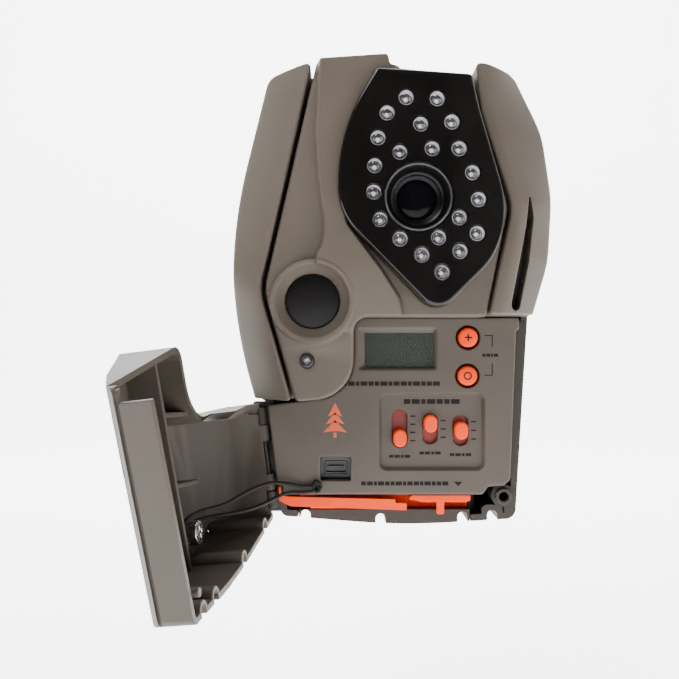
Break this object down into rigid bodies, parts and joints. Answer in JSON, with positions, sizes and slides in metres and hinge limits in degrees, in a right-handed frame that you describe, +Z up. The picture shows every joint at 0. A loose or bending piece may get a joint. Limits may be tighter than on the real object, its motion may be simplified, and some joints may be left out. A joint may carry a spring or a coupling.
{
  "type": "trail camera",
  "caption": "Weatherproof trail camera with a hinged lower door standing open on a cord tether, lamp window, motion sensor, control panel and battery tray.",
  "frame": {"origin": "mouth of the tripod socket, on the flat back", "axes": "+X to the right as seen from the front, +Y backwards out of the back, +Z up; the camera looks along -Y"},
  "size_m": [0.1454, 0.1366, 0.1738],
  "materials": {
    "case_plastic": "fine moulded texture, grey-brown",
    "shell_plastic": "fine moulded texture, darker grey-brown",
    "window_plastic": "smoked, semi-gloss",
    "dark_plastic": "matte",
    "panel_plastic": "fine moulded texture",
    "orange_plastic": "satin",
    "clear_epoxy": "water-clear",
    "lens_glass": "coated",
    "pir_film": "smoked",
    "lcd_glass": "clear over grey-green",
    "lcd_body": "grey-green",
    "board": "solder mask",
    "steel": "zinc plated",
    "brass": "machined",
    "black_part": "moulded",
    "tin_can": "tinned",
    "cell_wrap": "shrink sleeve",
    "wire_jacket": "braided jacket",
    "ribbon_jacket": "film"
  },
  "bodies": {
    "camera": {"battery_contacts": "brass", "board_screws": "steel", "card_socket": "tin_can", "control_board": "board", "control_panel": "panel_plastic", "front_cover": "case_plastic", "hinge_pin": "steel", "housing_screws": "steel", "image_sensor": "black_part", "indicator_lens": "clear_epoxy", "ir_lamps": "clear_epoxy", "lamp_board": "board", "lamp_window": "window_plastic", "latch_socket": "dark_plastic", "lcd_glass": "lcd_glass", "lcd_module": "lcd_body", "left_side_shell": "shell_plastic", "lens_barrel": "black_part", "lens_bezel": "dark_plastic", "lens_glass": "lens_glass", "lens_holder": "black_part", "main_board": "board", "pir_board": "board", "pir_lens": "pir_film", "pir_sensor": "tin_can", "rear_housing": "case_plastic", "ribbon_cable": "ribbon_jacket", "right_side_shell": "shell_plastic", "slide_switches": "tin_can", "tact_switches": "black_part", "tether": "wire_jacket", "tether_knot": "wire_jacket", "tripod_insert": "brass", "usb_port": "tin_can"},
    "door": {"door_shell": "case_plastic", "tether_screw": "steel"},
    "tray": {"battery_tray": "orange_plastic", "tray_cap": "case_plastic", "aa_cells": "cell_wrap", "tray_springs": "steel"},
    "lock": {"tray_lock": "orange_plastic"},
    "plus_button": {"plus_button": "orange_plastic"},
    "ok_button": {"ok_button": "orange_plastic"},
    "zone_knob": {"zone_knob": "orange_plastic"},
    "delay_knob": {"delay_knob": "orange_plastic"},
    "mode_knob": {"mode_knob": "orange_plastic"},
    "ir_cut_filter": {"ir_cut_filter": "lens_glass"}
  },
  "joints": [
    {"name": "door_hinge", "type": "hinge", "parent": "camera", "child": "door", "pos_m": [-0.0431, -0.042, -0.0782], "axis": [0.1226, 0, -0.9925], "range_deg": [-100.9, 25], "deforming": ["tether"]},
    {"name": "tray_slide", "type": "slide", "parent": "camera", "child": "tray", "axis": [0, 0, -1], "range_m": [0, 0.06]},
    {"name": "lock_slide", "type": "slide", "parent": "camera", "child": "lock", "axis": [1, 0, 0], "range_m": [-0.005, 0]},
    {"name": "plus_button_press", "type": "slide", "parent": "camera", "child": "plus_button", "axis": [0, 1, 0], "range_m": [0, 0.0008], "stiffness_N_per_m": 500},
    {"name": "ok_button_press", "type": "slide", "parent": "camera", "child": "ok_button", "axis": [0, 1, 0], "range_m": [0, 0.0008], "stiffness_N_per_m": 500},
    {"name": "zone_slide", "type": "slide", "parent": "camera", "child": "zone_knob", "axis": [0, 0, 1], "range_m": [-0.0003, 0.0069]},
    {"name": "delay_slide", "type": "slide", "parent": "camera", "child": "delay_knob", "axis": [0, 0, 1], "range_m": [-0.0043, 0.0001]},
    {"name": "mode_slide", "type": "slide", "parent": "camera", "child": "mode_knob", "axis": [0, 0, 1], "range_m": [-0.0024, 0.0022]},
    {"name": "filter_shift", "type": "slide", "parent": "camera", "child": "ir_cut_filter", "axis": [1, 0, 0], "range_m": [0, 0.009]}
  ]
}
